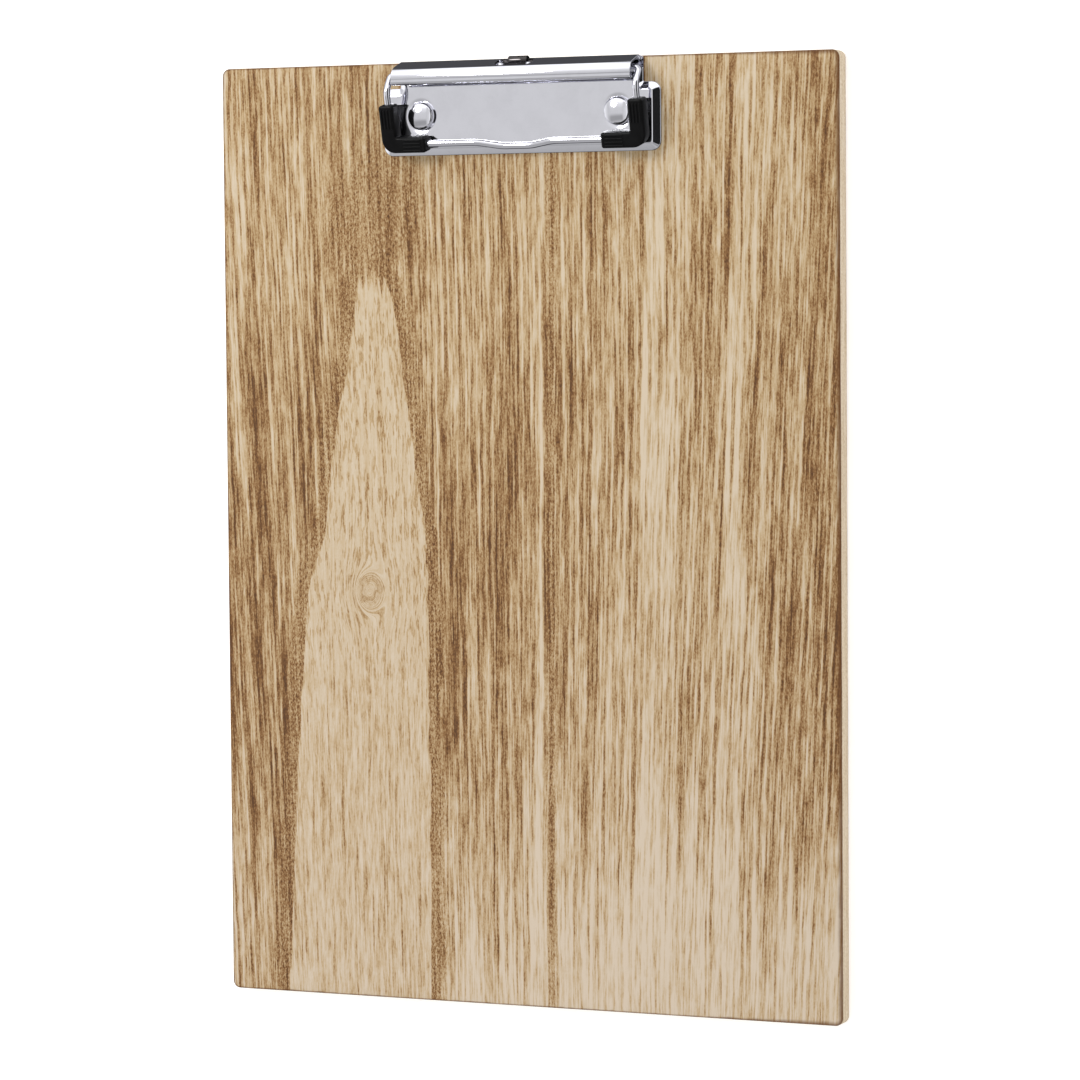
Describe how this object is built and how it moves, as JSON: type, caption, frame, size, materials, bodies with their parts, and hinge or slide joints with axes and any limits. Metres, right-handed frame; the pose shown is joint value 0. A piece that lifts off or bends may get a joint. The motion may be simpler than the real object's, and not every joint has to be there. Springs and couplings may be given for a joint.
{
  "type": "clipboard",
  "caption": "A4 wooden clipboard with a low-profile lever clip: a sprung wire bail with rubber corner grips holds sheets against a pressed steel plate.",
  "frame": {"origin": "middle of the board's back face, which rests on the table", "axes": "+Z out of the board's front face, +Y along the board towards the clip, +X to the board's right seen from the front"},
  "size_m": [0.225, 0.3211, 0.0183],
  "materials": {
    "wood": "open-grained light wood, brushed and scorched, dark burnt edge line, satin",
    "clip_chrome": "bright nickel-chrome plated pressed sheet, mirror",
    "wire_chrome": "bright plated spring wire, mirror",
    "rivet_chrome": "bright plated domed rivet",
    "grip_rubber": "moulded black rubber, satin",
    "washer_zinc": "zinc plated"
  },
  "bodies": {
    "root": {"board": "wood", "base_plate": "clip_chrome", "rivet_left": "rivet_chrome", "rivet_right": "rivet_chrome", "washer_left": "washer_zinc", "washer_right": "washer_zinc"},
    "lever": {"lever": "clip_chrome"},
    "bail": {"wire_bail": "wire_chrome", "grip_left": "grip_rubber", "grip_right": "grip_rubber"}
  },
  "joints": [
    {"name": "lever_lift", "type": "hinge", "parent": "root", "child": "lever", "pos_m": [0, 0.1595, 0.0087], "axis": [-1, 0, 0], "range_deg": [0, 90], "stiffness_Nm_per_rad": 0.08, "springref_deg": -34.38},
    {"name": "bail_swing", "type": "hinge", "parent": "lever", "child": "bail", "pos_m": [0, 0.1556, 0.0132], "axis": [-1, 0, 0], "range_deg": [-45, 0]}
  ],
  "couplings": [
    {"joint": "bail_swing", "follows": "lever_lift", "ratio": -0.5}
  ]
}
